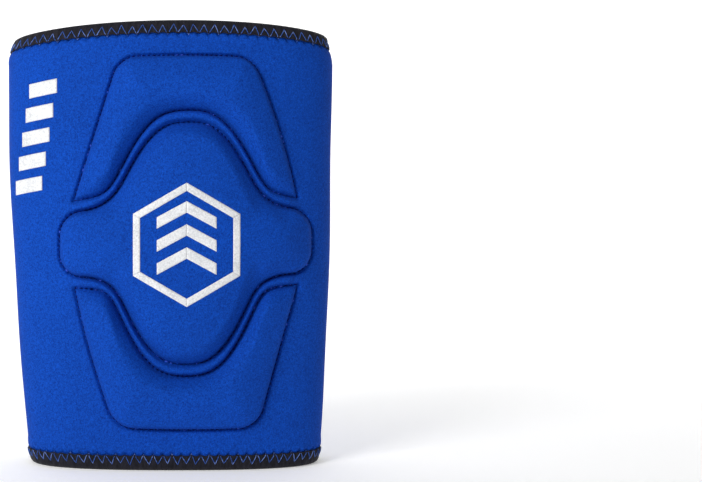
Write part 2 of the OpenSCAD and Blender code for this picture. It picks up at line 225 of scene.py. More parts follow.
def rib(px):
    """Half width of a channel's rib, which is wider at the arch's top and the wings' ends."""
    return (RIB_HALF_W + RIB_SWELL * np.exp(-(px / RIB_SWELL_RUN) ** 4)
            + RIB_FLARE * smooth((np.abs(px) - RIB_FLARE_START) / RIB_FLARE_RUN))


def steepness(px, shape):
    """Length of an arch's line for each millimetre of px."""
    return np.sqrt(1 + (arch(px + 0.5, shape) - arch(px - 0.5, shape)) ** 2)


def channel_depth(px, z, shape, up):
    """Distance past a channel's middle, measured square to its arch."""
    return (up * (z - MID_Z) - arch(px, shape)) / steepness(px, shape)


def side_depth(px, z, side):
    """Distance inside a pad's slanted side."""
    tip_z, corner_z, corner_w, bow = side
    u = (z - corner_z) / (tip_z - corner_z)
    c = np.clip(u, 0, 1)
    k = (TIP_HALF_W - corner_w) / (tip_z - corner_z)
    edge = corner_w + (TIP_HALF_W - corner_w) * u + (px * bow > 0) * abs(bow) * 4 * c * (1 - c)
    return (edge - np.abs(px)) / math.sqrt(1 + k * k)


def round_min(a, b, r):
    """The smaller of two depths, with the corner between their edges rounded to radius r."""
    both = (a < r) & (b < r)
    return np.where(both, r - np.hypot(r - a, r - b), np.minimum(a, b))


# Depths are distances inside an edge: outer is for a pad's edge away from its channel, and arc
# for the edge along its channel.


def upper_outer(px, z):
    top = UPPER_TOP - EDGE_BEND * px ** 2
    return round_min(side_depth(px, z, UPPER_SIDE), top - z, UPPER_ROUND)


def lower_outer(px, z):
    above = z - LOWER_BOTTOM - EDGE_BEND * px ** 2
    return round_min(side_depth(px, z, LOWER_SIDE), above, LOWER_ROUND)


def upper_arc(px, z):
    return channel_depth(px, z, UPPER_ARCH, 1) - rib(px)


def lower_arc(px, z):
    return channel_depth(px, z, LOWER_ARCH, -1) - rib(px)


def upper_depth(px, z):
    return np.minimum(upper_outer(px, z), upper_arc(px, z))


def lower_depth(px, z):
    return np.minimum(lower_outer(px, z), lower_arc(px, z))


def centre_depth(px, z):
    up = -channel_depth(px, z, UPPER_ARCH, 1) - rib(px)
    down = -channel_depth(px, z, LOWER_ARCH, -1) - rib(px)
    return round_min(WING_HALF_W - np.abs(px), np.minimum(up, down), WING_ROUND)


def rise(depth, waves):
    """Height of the foam's rounded edge, as a share of its full height."""
    return sum(share * np.sin(0.5 * np.pi * np.clip(depth / run, 0, 1)) for share, run in waves)


def pad_height(px, z):
    """How far the foam pushes the skin out: steep beside the channels, gentle elsewhere."""
    centre = centre_depth(px, z)
    wing = smooth((np.abs(px) - WING_START) / WING_RUN)
    return PAD_STAND * np.maximum.reduce([
        rise(upper_arc(px, z), STEEP_RISE) * rise(upper_outer(px, z), GENTLE_RISE),
        rise(lower_arc(px, z), STEEP_RISE) * rise(lower_outer(px, z), GENTLE_RISE),
        (1 - wing) * rise(centre, STEEP_RISE) + wing * rise(centre, GENTLE_RISE)])


def rib_height(px, z):
    """The narrow welt that runs between the two seams of each channel."""
    fade = 1 - smooth((np.abs(px) - RIB_END_START) / RIB_END_RUN)
    total = 0
    for shape, up in ((UPPER_ARCH, 1), (LOWER_ARCH, -1)):
        across = np.abs(channel_depth(px, z, shape, up)) / (rib(px) - RIB_SEAM_GAP)
        total = total + RIB_H * np.clip(1 - across ** RIB_POWER, 0, 1) ** 0.5 * fade
    return total


def trace(depth, middle):
    """Outline where depth is 0, seen from a point that can see all of it."""
    angle = np.linspace(0, 2 * np.pi, 1440, endpoint=False)
    reach = np.arange(0, 90, TRACE_STEP)
    px = middle[0] + np.outer(np.cos(angle), reach)
    z = middle[1] + np.outer(np.sin(angle), reach)
    outside = depth(px, z) < 0
    last = np.argmax(outside, axis=1)
    pick = np.flatnonzero(outside.any(axis=1))
    return np.stack([px[pick, last[pick]], z[pick, last[pick]]], axis=1)


def stitch_points(path):
    """Points at even steps along a closed outline, POINTS_PER_STITCH of them to a stitch."""
    closed = np.vstack([path, path[:1]])
    s = np.concatenate([[0], np.cumsum(np.hypot(*np.diff(closed, axis=0).T))])
    count = round(s[-1] / (STITCH_PITCH / POINTS_PER_STITCH))
    at = np.linspace(0, s[-1], count, endpoint=False)
    return np.stack([np.interp(at, s, closed[:, k]) for k in (0, 1)], axis=1)


def pad_outline(outer, arc, shape, up, middle):
    """Closed seam of the upper or lower pad: along its channel, then round its outer edge."""
    px = np.arange(-70, 70, TRACE_STEP)
    along = np.stack([px, MID_Z + up * (arch(px, shape) + rib(px) * steepness(px, shape))], axis=1)
    along = along[outer(along[:, 0], along[:, 1]) > 0][::up]
    around = trace(outer, middle)
    around = around[arc(around[:, 0], around[:, 1]) > 0]
    turn = np.arctan2(around[:, 1] - middle[1], around[:, 0] - middle[0])
    turn = (turn + up * np.pi / 2) % (2 * np.pi)
    return np.vstack([along, around[np.argsort(turn)]])


SEAMS = {
    "upper": stitch_points(pad_outline(upper_outer, upper_arc, UPPER_ARCH, 1, (0.0, 170.0))),
    "centre": stitch_points(trace(centre_depth, (0.0, MID_Z))),
    "lower": stitch_points(pad_outline(lower_outer, lower_arc, LOWER_ARCH, -1, (0.0, 32.0))),
}
DEPTHS = {"upper": upper_depth, "centre": centre_depth, "lower": lower_depth}

# ---- The skin's grid: rows follow the channels in front and level out behind ----


def lines_at(t):
    """Heights of the two channels' middle lines at angle t."""
    blend = smooth((np.abs(np.cos(t)) - SIDE_START) / (1 - SIDE_START))
    behind = np.sin(t) >= 0
    blend = np.where(behind, 1.0, blend)
    px_u = ring(t, UPPER_AXIS_Z)[0] - PAD_SHIFT
    px_l = ring(t, FOREARM_AXIS_Z)[0] - PAD_SHIFT
    upper = (1 - blend) * (MID_Z + arch(px_u, UPPER_ARCH)) + blend * UPPER_AXIS_Z
    lower = (1 - blend) * (MID_Z - arch(px_l, LOWER_ARCH)) + blend * FOREARM_AXIS_Z
    return lower, upper


def skin_rows(t, counts):
    """Heights of the grid's rows at each angle, and the number of the row at SPLIT_Z.

    The first and last rows lie 1 mm inside the rims, hidden by the bindings.
    """
    lower, upper = lines_at(t)
    low = np.ones_like(t)
    mid = np.full_like(t, SPLIT_Z)
    top = rim_z(ring(t, SLEEVE_H)[0]) - 1.0
    levels = [low, lower, mid, upper, top]
    rows = []
    for a, b, count in zip(levels, levels[1:], counts):
        share = np.linspace(0, 1, count, endpoint=False)[:, None]
        rows.append(a + (b - a) * share)
    rows.append(top[None, :])
    return np.vstack(rows), counts[0] + counts[1]


def halves(points, split_row):
    """The grid's lower and upper half, which share the row at SPLIT_Z."""
    return ("lower", points[:split_row + 1]), ("upper", points[split_row:])


# ---- Meshes ----


def mesh_object(name, points, faces, material):
    """points in millimetres."""
    mesh = bpy.data.meshes.new(name)
    mesh.from_pydata((np.asarray(points) * MM).tolist(), [], [tuple(f) for f in faces])
    mesh.polygons.foreach_set("use_smooth", [True] * len(mesh.polygons))
    mesh.materials.append(material)
    mesh.validate()
    obj = bpy.data.objects.new(name, mesh)
    bpy.context.scene.collection.objects.link(obj)
    return obj


def grid_faces(rows, cols, closed=False):
    r, c = np.meshgrid(np.arange(rows - 1), np.arange(cols if closed else cols - 1), indexing="ij")
    d = (c + 1) % cols
    quads = np.stack([r * cols + c, r * cols + d, (r + 1) * cols + d, (r + 1) * cols + c], axis=-1)
    return quads.reshape(-1, 4)


def tube(path, radius, closed=False):
    """Points and faces of a tube along a path; an open tube has closed ends."""
    sides = 6
    path = np.asarray(path, float)
    if closed:
        along = np.roll(path, -1, axis=0) - np.roll(path, 1, axis=0)
    else:
        along = np.gradient(path, axis=0)
    along /= np.linalg.norm(along, axis=1)[:, None]
    side = np.cross(along, (0.0, 1.0, 0.0))
    short = np.linalg.norm(side, axis=1) < 0.2
    side[short] = np.cross(along[short], (1.0, 0.0, 0.0))
    side /= np.linalg.norm(side, axis=1)[:, None]
    up = np.cross(side, along)
    angle = np.linspace(0, 2 * np.pi, sides, endpoint=False)
    radius = np.broadcast_to(np.asarray(radius, float), (len(path),))
    points = (path[:, None, :]
              + radius[:, None, None] * (np.cos(angle)[None, :, None] * side[:, None, :]
                                         + np.sin(angle)[None, :, None] * up[:, None, :]))
    n = len(path)
    faces = []
    for i in range(n if closed else n - 1):
        a, b = i * sides, ((i + 1) % n) * sides
        for k in range(sides):
            m = (k + 1) % sides
            faces.append((a + k, a + m, b + m, b + k))
    if not closed:
        faces.append(tuple(range(sides))[::-1])
        faces.append(tuple(range((n - 1) * sides, n * sides)))
    return points.reshape(-1, 3), faces


class Pile:
    """Collects many small shapes into one mesh."""

    def __init__(self):
        self.points, self.faces, self.count = [], [], 0

    def add(self, points, faces):
        self.points.append(points)
        self.faces.extend([tuple(int(i) + self.count for i in f) for f in faces])
        self.count += len(points)

    def build(self, name, material):
        return mesh_object(name, np.vstack(self.points), self.faces, material)


# ---- Materials ----


def linear(r, g, b):
    """sRGB 0-255 to a linear colour."""
    out = []
    for v in (r, g, b):
        v /= 255
        out.append(v / 12.92 if v <= 0.04045 else ((v + 0.055) / 1.055) ** 2.4)
    return (*out, 1.0)


class Shader:
    """A material with one Principled BSDF and helpers for its texture nodes."""

    def __init__(self, name):
        self.material = bpy.data.materials.new(name)
        self.material.use_nodes = True
        self.tree = self.material.node_tree
        self.bsdf = self.tree.nodes["Principled BSDF"]
        self.coords = self.node("ShaderNodeTexCoord").outputs["Object"]

    def node(self, kind, **inputs):
        node = self.tree.nodes.new(kind)
        for key, value in inputs.items():
            node.inputs[key].default_value = value
        return node

    def link(self, a, b):
        self.tree.links.new(a, b)

    def stretched(self, x, y, z):
        node = self.node("ShaderNodeMapping", Scale=(x, y, z))
        self.link(self.coords, node.inputs["Vector"])
        return node.outputs["Vector"]

    def noise(self, per_metre, detail, roughness, stretch=(1, 1, 1)):
        node = self.node("ShaderNodeTexNoise", Scale=per_metre, Detail=detail, Roughness=roughness)
        self.link(self.stretched(*stretch), node.inputs["Vector"])
        return node.outputs["Fac"]

    def ramp(self, factor, stops):
        node = self.node("ShaderNodeValToRGB")
        elements = node.color_ramp.elements
        while len(elements) < len(stops):
            elements.new(0.5)
        for element, (place, colour) in zip(elements, stops):
            element.position = place
            element.color = colour
        self.link(factor, node.inputs["Fac"])
        return node.outputs["Color"]

    def mix(self, factor, a, b, kind="MIX"):
        node = self.node("ShaderNodeMix")
        node.data_type = "RGBA"
        node.blend_type = kind
        for socket, value in (("Factor", factor), ("A", a), ("B", b)):
            target = [s for s in node.inputs if s.name == socket and s.enabled][0]
            if isinstance(value, bpy.types.NodeSocket):
                self.link(value, target)
            else:
                target.default_value = value
        return [s for s in node.outputs if s.enabled][0]

    def bump(self, height, strength, distance_mm, under=None):
        node = self.node("ShaderNodeBump", Strength=strength, Distance=distance_mm * MM)
        self.link(height, node.inputs["Height"])
        if under is not None:
            self.link(under, node.inputs["Normal"])
        return node.outputs["Normal"]

    def finish(self, colour, normal=None, **values):
        if isinstance(colour, bpy.types.NodeSocket):
            self.link(colour, self.bsdf.inputs["Base Color"])
        else:
            self.bsdf.inputs["Base Color"].default_value = colour
        if normal is not None:
            self.link(normal, self.bsdf.inputs["Normal"])
        for key, value in values.items():
            self.bsdf.inputs[key.replace("_", " ")].default_value = value
        return self.material


def jersey(name, dark, light, sheen, tint):
    """Fine knit face of foamed neoprene: mottled yarn, small loops and a soft nap."""
    s = Shader(name)
    loops = s.noise(2600, 1.0, 0.5, (1, 1, 0.75))
    yarn = s.noise(1100, 2.0, 0.6)
    wear = s.noise(30, 3.0, 0.6)
    tone = s.ramp(s.mix(0.45, loops, yarn), ((0.36, dark), (0.64, light)))
    shade = s.ramp(wear, ((0.3, (0.94, 0.94, 0.94, 1)), (0.7, (1.04, 1.04, 1.04, 1))))
    colour = s.mix(1.0, tone, shade, "MULTIPLY")
    under = s.bump(yarn, 0.3, 0.2)
    normal = s.bump(loops, 0.5, 0.2, under)
    return s.finish(colour, normal, Roughness=0.85, Sheen_Weight=sheen, Sheen_Roughness=0.5,
                    Sheen_Tint=tint, Specular_IOR_Level=0.12)


def ribbed(name, dark, light):
    """Stretch binding with fine ribs running along the hem's width."""
    s = Shader(name)
    ribs = s.noise(1100, 1.0, 0.4, (1, 1, 0.25))
    fibre = s.noise(2200, 2.0, 0.6)
    colour = s.ramp(s.mix(0.4, ribs, fibre), ((0.3, dark), (0.7, light)))
    normal = s.bump(ribs, 0.5, 0.3, s.bump(fibre, 0.3, 0.15))
    return s.finish(colour, normal, Roughness=0.85, Sheen_Weight=0.08, Sheen_Roughness=0.5,
                    Specular_IOR_Level=0.15)


def thread(name, dark, light, fleck, flecks_from):
    """Twisted polyester thread, some stretches of it catching the light."""
    s = Shader(name)
    twist = s.noise(2600, 1.0, 0.5, (1, 1, 0.5))
    patches = s.noise(420, 1.0, 0.4)
    body = s.ramp(twist, ((0.35, dark), (0.65, light)))
    bright = s.ramp(patches, ((flecks_from, (0, 0, 0, 1)), (flecks_from + 0.08, (1, 1, 1, 1))))
    colour = s.mix(bright, body, fleck)
    return s.finish(colour, s.bump(twist, 0.4, 0.15), Roughness=0.7, Specular_IOR_Level=0.1)


def transfer_print(name, dark, light):
    """Silver-white transfer print with a grain of darker specks from the knit below."""
    s = Shader(name)
    speck = s.noise(1300, 2.5, 0.75)
    cloud = s.noise(160, 2.0, 0.5)
    colour = s.ramp(s.mix(0.25, speck, cloud), ((0.36, dark), (0.6, light)))
    return s.finish(colour, s.bump(speck, 0.35, 0.12), Roughness=0.5, Specular_IOR_Level=0.45)


NEOPRENE = jersey("neoprene_blue", linear(2, 50, 138), linear(12, 80, 194), 0.03, (0.1, 0.35, 1, 1))
LINING = jersey("lining_black", linear(20, 20, 23), linear(40, 40, 45), 0.15, (0.7, 0.7, 0.75, 1))
BINDING = ribbed("binding_black", linear(15, 15, 21), linear(38, 37, 46))
HEM_THREAD = thread("thread_light_blue", linear(40, 72, 148), linear(72, 108, 186),
                    linear(112, 138, 206), 0.54)
SEAM_THREAD = thread("thread_dark_blue", linear(0, 4, 62), linear(4, 16, 104),
                     linear(66, 96, 214), 0.6)
PRINT = transfer_print("print_silver", linear(205, 207, 210), linear(240, 241, 243))

# ---- Baking pieces' transforms into their meshes ----


def bend(piece):
    """Bakes a piece's transform into its mesh."""
    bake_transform(piece)


# ---- The padded skin ----


def edge_wave(t, z, edge_z, above):
    """Puckers where the hem's zigzag bites into the skin, just past the binding's edge."""
    bite_half_w = 0.75
    hole_depth, hole_at, hole_half_w = 1.1, 0.6, 1.0
    puff_h, puff_end, fade_run = 0.5, 1.2, 5
    tuck_depth, tuck_half_run = 0.35, 0.4
    phase = zig_phase(t)
    bite = np.exp(-((phase - np.round(phase)) * ZIG_PITCH / bite_half_w) ** 2)
    past = above * (z - edge_z)
    hole = bite * np.exp(-((past - hole_at) / hole_half_w) ** 2)
    puff = smooth(past / puff_end) * (1 - smooth((past - puff_end) / fade_run))
    tucked = 1 - smooth((past + tuck_half_run) / (2 * tuck_half_run))
    return puff_h * puff - hole_depth * hole - tuck_depth * tucked


def zig_table():
    """Angles round the hem, and how many zigzags have been passed at each."""
    t, s = section_run(SLEEVE_H, 4001)
    return t, s / s[-1] * round(s[-1] / ZIG_PITCH)


ZIG_T, ZIG_PHASE = zig_table()
ZIG_COUNT = round(ZIG_PHASE[-1])


def zig_phase(t):
    return np.interp(t, ZIG_T, ZIG_PHASE)


def zig_angle(phase):
    return np.interp(phase, ZIG_PHASE, ZIG_T)


def seam_relief(x, z, front):
    """Grooves along the pads' seams, pulled deeper at every stitch and beside the channels."""
    reach, stitch_pull = 3.0, 0.2
    beside, beside_run = 1.0, 2.5
    px = x - PAD_SHIFT
    relief = np.zeros_like(px)
    to_rib = np.minimum(np.abs(channel_depth(px, z, UPPER_ARCH, 1)),
                        np.abs(channel_depth(px, z, LOWER_ARCH, -1))) - rib(px)
    by_channel = 1 - smooth((to_rib - beside) / beside_run)
    deep = GROOVE_DEPTH + CHANNEL_GROOVE_DEPTH * by_channel
    wide = GROOVE_HALF_W + CHANNEL_GROOVE_HALF_W * by_channel
    for name, points in SEAMS.items():
        tree = KDTree(len(points))
        for i, p in enumerate(points):
            tree.insert((p[0], p[1], 0.0), i)
        tree.balance()
        near = np.argwhere(front & (np.abs(DEPTHS[name](px, z)) < reach + 1))
        for r, c in near:
            _, i, d = tree.find((px[r, c], z[r, c], 0.0))
            if d > reach:
                continue
            wave = math.cos(2 * math.pi * i / POINTS_PER_STITCH)
            pull = 1 - stitch_pull + stitch_pull * wave
            groove = -pull * deep[r, c] * math.exp(-(d / wide[r, c]) ** 2)
            relief[r, c] = min(relief[r, c], groove)
    return relief


def soft_waves(x, y, z):
    """Slow unevenness of soft cloth, the same on every run."""
    wave = 0.22 * np.sin(x / 17 + z / 29 + 0.7) + 0.18 * np.sin(z / 13 - x / 41 + 2.1)
    back = smooth((y - SLEEVE_Y) / 12)
    crease = sum(h * np.exp(-((z - at - 3.5 * np.sin(x / 26 + at)) / CREASE_HALF_W) ** 2)
                 for at, h in CREASES)
    return wave + back * crease


def settle(field):
    """Evens out small wrinkles in a grid of vectors."""
    for _ in range(SETTLE_PASSES):
        for axis in (0, 1):
            wide = np.pad(field, [(int(axis == k),) * 2 for k in range(3)], mode="edge")
            n = field.shape[axis]
            before, after = wide.take(range(n), axis), wide.take(range(2, n + 2), axis)
            field = (before + 2 * field + after) / 4
    return field


def cloth_swell(points, free):
    """Blows the skin up between its seams with Cloth, and returns how far each point moved.

    The sheet is simulated CLOTH_SCALE times as large, where Cloth's springs behave like fabric.
    """
    rows, cols = free.shape
    obj = mesh_object("swell", points.reshape(-1, 3) * CLOTH_SCALE, grid_faces(rows, cols), NEOPRENE)
    pinned = obj.vertex_groups.new(name="pinned")
    for i, f in enumerate(free.reshape(-1)):
        pinned.add([i], float(1 - f), "REPLACE")
    cloth = obj.modifiers.new("Cloth", "CLOTH")
    cloth.settings.quality = 5
    cloth.settings.mass = 0.02
    cloth.settings.tension_stiffness = 15
    cloth.settings.compression_stiffness = 15
    cloth.settings.shear_stiffness = 6
    cloth.settings.bending_stiffness = 0.5
    cloth.settings.vertex_group_mass = "pinned"
    cloth.settings.use_pressure = True
    cloth.settings.uniform_pressure_force = 4
    cloth.settings.effector_weights.gravity = 0
    cloth.collision_settings.use_collision = False
    scene = bpy.context.scene
    for step in range(1, CLOTH_STEPS + 1):
        scene.frame_set(step)
    done = obj.evaluated_get(bpy.context.evaluated_depsgraph_get())
    moved = np.array([v.co for v in done.data.vertices]) / MM / CLOTH_SCALE - points.reshape(-1, 3)
    scene.frame_set(1)
    bpy.data.objects.remove(obj)
    length = np.linalg.norm(moved, axis=1)[:, None]
    capped = moved * CLOTH_SWELL * np.tanh(length / CLOTH_SWELL) / np.maximum(length, 1e-6)
    return settle(capped.reshape(points.shape))


def refine(coarse, shape):
    """Spreads a coarse grid of vectors over a finer one."""
    rows, cols = coarse.shape[:2]
    r = np.linspace(0, rows - 1, shape[0])
    c = np.linspace(0, cols - 1, shape[1])
    out = np.empty((*shape, 3))
    for k in range(3):
        tall = np.array([np.interp(r, np.arange(rows), col) for col in coarse[:, :, k].T]).T
        out[:, :, k] = np.array([np.interp(c, np.arange(cols), row) for row in tall])
    return out


def swell(base, front_cols):
    """Adds Cloth's swelling to the front of the skin, worked out on every COARSE-th point."""
    seam_w, ease_run = 0.5, 2.0
    sheet = base[:, :front_cols + 1]
    coarse = sheet[::COARSE, ::COARSE]
    px, z = coarse[..., 0] - PAD_SHIFT, coarse[..., 2]
    inside = np.maximum.reduce([upper_depth(px, z), centre_depth(px, z), lower_depth(px, z)])
    moved = cloth_swell(coarse, smooth((inside - seam_w) / ease_run))
    sheet += refine(moved, sheet.shape[:2])


def skin_points():
    """The finished skin as a grid of points, and the number of its row at SPLIT_Z."""
    t, front_cols = section_angles(FRONT_STEP, BACK_STEP, COARSE)
    z, split_row = skin_rows(t, ZONE_ROWS)
    t = np.broadcast_to(t, z.shape)
    x, y = ring(t, z)
    front = np.sin(t) < 0
    px = x - PAD_SHIFT
    lift = np.where(front, pad_height(px, z), 0.0)
    base = np.stack([x, y - lift, z], axis=-1)
    swell(base, front_cols)
    out_x, out_y = ring(t, z, 1.0)
    normal = np.stack([out_x - x, out_y - y, np.zeros_like(x)], axis=-1)
    normal /= np.linalg.norm(normal, axis=-1)[..., None]
    relief = soft_waves(x, y, z)
    relief += edge_wave(t, z, BOTTOM_BINDING_W, 1)
    relief += edge_wave(t, z, rim_z(ring(t, SLEEVE_H)[0]) - TOP_BINDING_W, -1)
    base += normal * relief[..., None]
    base[..., 1] -= seam_relief(x, z, front) + np.where(front, rib_height(px, z), 0.0)
    return base, split_row


def make_skin():
    """Makes the skin's two halves and returns the whole as a tree that rays can hit."""
    points, split_row = skin_points()
    rows, cols = points.shape[:2]
    tree = BVHTree.FromPolygons((points.reshape(-1, 3) * MM).tolist(),
                                grid_faces(rows, cols, closed=True).tolist())
    for half, part in halves(points, split_row):
        piece = mesh_object(f"sleeve_{half}_skin", part.reshape(-1, 3),
                            grid_faces(part.shape[0], cols, closed=True), NEOPRENE)
        bend(piece)
        if half == "upper":
            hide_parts("upper_front_cover", "upper_back_panel", "upper_foam",
                        "centre_front_cover", "centre_foam", "upper_crease_gusset")
        else:
            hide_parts("lower_front_cover", "lower_back_panel", "lower_foam",
                        "centre_back_panel", "lower_crease_gusset")
    return tree


SKIN = make_skin()


def on_skin(x, z, out):
    """Point on the front of the skin, moved out by out."""
    hit = SKIN.ray_cast(Vector((x * MM, -FAR_OFF, z * MM)), BACKWARD)
    y = hit[0].y / MM if hit[0] is not None else SLEEVE_Y
    return (x, y - out, z)


def on_side(side, y, z, out):
    """Point on the left (-1) or right (1) edge of the skin, moved out by out."""
    hit = SKIN.ray_cast(Vector((side * FAR_OFF, y * MM, z * MM)), Vector((-side, 0, 0)))
    return (hit[0].x / MM + side * out, y, z)


# ---- Lining ----


def make_lining():
    t, _ = section_angles(LINING_FRONT_STEP, LINING_BACK_STEP)
    z, split_row = skin_rows(t, LINING_ROWS)
    t = np.broadcast_to(t, z.shape)
    x, y = ring(t, z, -LINING_DEPTH)
    points = np.stack([x, y, z], axis=-1)
    for half, part in halves(points, split_row):
        faces = grid_faces(part.shape[0], part.shape[1], closed=True)[:, ::-1]
        piece = mesh_object(f"lining_{half}", part.reshape(-1, 3), faces, LINING)
        bend(piece)
        if half == "upper":
            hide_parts("upper_lining", "centre_lining")
        else:
            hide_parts("lower_lining")


make_lining()

# ---- Hems ----


def binding_profile(width):
    """Section of the folded binding as (out, up) pairs, from its front edge round the rim."""
    back = -LINING_DEPTH - 0.1
    fold = (BINDING_T - back + BINDING_T) / 2
    middle = BINDING_T - fold
    front = [(-0.05, width - 0.15), (0.45, width), (BINDING_T, width - 0.45),
             (BINDING_T + 0.12, width * 0.6), (BINDING_T, fold)]
    turn = [(middle + fold * signed_pow(math.cos(a)), fold - fold * signed_pow(math.sin(a)))
            for a in np.linspace(0.05 * math.pi, 0.95 * math.pi, 13)]
    rear = [(back - BINDING_T, fold), (back - BINDING_T - 0.05, width * 0.6),
            (back - BINDING_T, width - 0.4), (back - 0.35, width), (back + 0.1, width - 0.15)]
    return np.array(front + turn + rear)


def make_binding(name, rim, up, width, body, node):
    """A hem's binding, puffed and drawn in between the zigzag's tips."""
    profile = binding_profile(width)
    t, _ = section_angles(BINDING_FRONT_STEP, BINDING_BACK_STEP)
    pull = np.cos(2 * np.pi * zig_phase(t))
    rows = []
    for out, height in profile:
        edge = 0.22 * pull * smooth((height - width * 0.5) / (width * 0.5))
        z = rim(t) + up * (height + edge)
        puff = 0.1 * pull * (1 - smooth((height - width * 0.4) / (width * 0.3)))
        x, y = ring(t, z, out + puff * (out > 0))
        rows.append(np.stack([x, y, z], axis=-1))
    points = np.array(rows)
    faces = grid_faces(len(rows), len(t), closed=True)
    piece = mesh_object(name, points.reshape(-1, 3), faces[:, ::-1] if up > 0 else faces, BINDING)
    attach(piece, body)
    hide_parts(node)


def make_zigzag(name, rim, up, low, width, body, node):
    """One thread that goes up and down over the binding's edge, a little unevenly."""
    steps, over_edge = 6, 0.45
    rest_out, skin_out, bow, sink = BINDING_T + 0.05, -0.1, 0.17, 0.15
    tips = np.arange(2 * ZIG_COUNT)
    sway = 0.06 * np.sin(2.3 * tips)
    uneven = 0.3 * np.sin(1.7 * tips) + 0.2 * np.sin(5.1 * tips + 1)
    height = np.where(tips % 2 == 0, width + over_edge, low) + uneven
    path = []
    for leg in tips:
        after = (leg + 1) % len(tips)
        for u in np.arange(steps) / steps:
            t = zig_angle((leg + u) / 2 + (1 - u) * sway[leg] + u * sway[after])
            h = (1 - u) * height[leg] + u * height[after]
            arc = math.sin(math.pi * u) ** 0.5
            on_binding = 1 - smooth((h - width + 0.5) / 0.8)
            rest = rest_out * on_binding + skin_out * (1 - on_binding)
            out = rest + bow * arc - sink * (1 - arc)
            x, y = ring(t, rim(t) + up * h, out)
            path.append((float(x), float(y), float(rim(t) + up * h)))
    points, faces = tube(path, HEM_THREAD_R, closed=True)
    piece = mesh_object(name, points, faces, HEM_THREAD)
    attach(piece, body)
    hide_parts(node)


def top_rim(t):
    return rim_z(ring(t, SLEEVE_H)[0])


def bottom_rim(t):
    return np.zeros_like(t, dtype=float)


make_binding("top_binding", top_rim, -1, TOP_BINDING_W, "upper_arm_section", "top_hem")
make_binding("bottom_binding", bottom_rim, 1, BOTTOM_BINDING_W, "forearm_section", "bottom_hem")
make_zigzag("top_zigzag", top_rim, -1, TOP_ZIG_LOW, TOP_BINDING_W, "upper_arm_section",
            "top_hem_zigzag")
make_zigzag("bottom_zigzag", bottom_rim, 1, BOTTOM_ZIG_LOW, BOTTOM_BINDING_W, "forearm_section",
            "bottom_hem_zigzag")

# ---- Running stitches along the pads' seams ----


def stitch(pile, places):
    """One stitch through points on the skin; its ends dive into the cloth and are thinner."""
    sink, bow, thin = -0.28, 0.42, 0.7
    n = len(places)
    path = []
    for i, (x, z) in enumerate(places):
        lift = math.sin(math.pi * (i + 0.35) / (n - 0.3))
        path.append(on_skin(x, z, sink + bow * lift))
    pile.add(*tube(path, STITCH_R * np.array([thin] + [1.0] * (n - 2) + [thin])))


def make_stitches():
    nodes = {"upper": "upper_topstitch", "centre": "centre_topstitch", "lower": "lower_topstitch"}
    for name, points in SEAMS.items():
        piles = {"upper": Pile(), "lower": Pile()}
        for start in range(0, len(points) - POINTS_PER_STITCH + 1, POINTS_PER_STITCH):
            places = [(points[start + i][0] + PAD_SHIFT, points[start + i][1]) for i in STITCH_POINTS]
            half = "upper" if places[2][1] > SPLIT_Z else "lower"
            stitch(piles[half], places)
        for half, pile in piles.items():
            if not pile.points:
                continue
            suffix = f"_{half}" if name == "centre" else ""
            piece = pile.build(f"{name}_pad_stitches{suffix}", SEAM_THREAD)
            bend(piece)
            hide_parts(nodes[name])


make_stitches()


def make_side_seams():
    """Flat zigzag seams up both sides, where the front and back panels meet."""
    for half, z0, z1 in (("lower", BOTTOM_BINDING_W + 1, SPLIT_Z),
                         ("upper", SPLIT_Z, SLEEVE_H - RIM_DROP - TOP_BINDING_W - 1)):
        pile = Pile()
        for side in (-1, 1):
            count = 2 * round((z1 - z0) / SIDE_SEAM_PITCH)
            path = []
            for i in range(count + 1):
                y = SLEEVE_Y + SIDE_SEAM_HALF_W * (1 if i % 2 else -1)
                path.append(on_side(side, y, z0 + (z1 - z0) * i / count, -0.05))
            pile.add(*tube(path, SIDE_SEAM_R))
        piece = pile.build(f"side_seams_{half}", SEAM_THREAD)
        bend(piece)
        if half == "upper":
            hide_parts("upper_side_seams", "centre_side_seams")
        else:
            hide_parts("lower_side_seams")


make_side_seams()

# ---- Prints ----


def print_patch(pile, corners):
    """Thin print on the skin inside four (px, z) corners."""
    a, b, c, d = (np.array(p, float) for p in corners)
    cols = max(1, round(max(np.linalg.norm(b - a), np.linalg.norm(c - d)) / PRINT_CELL))
    rows = max(1, round(max(np.linalg.norm(d - a), np.linalg.norm(c - b)) / PRINT_CELL))
    top, low = [], []
    for j in range(rows + 1):
        for i in range(cols + 1):
            u, v = i / cols, j / rows
            p = (a * (1 - u) + b * u) * (1 - v) + (d * (1 - u) + c * u) * v
            top.append(on_skin(p[0] + PAD_SHIFT, p[1], PRINT_T))
            low.append(on_skin(p[0] + PAD_SHIFT, p[1], -PRINT_SINK))
    n = (rows + 1) * (cols + 1)
    face = grid_faces(rows + 1, cols + 1)
    faces = [tuple(f) for f in face] + [tuple(f[::-1] + n) for f in face]
    edge = (list(range(cols + 1)) + [(j + 1) * (cols + 1) - 1 for j in range(1, rows + 1)]
            + [rows * (cols + 1) + i for i in range(cols - 1, -1, -1)]
            + [j * (cols + 1) for j in range(rows - 1, 0, -1)])
    for p, q in zip(edge, edge[1:] + edge[:1]):
        faces.append((q, p, p + n, q + n))
    pile.add(np.array(top + low), faces)


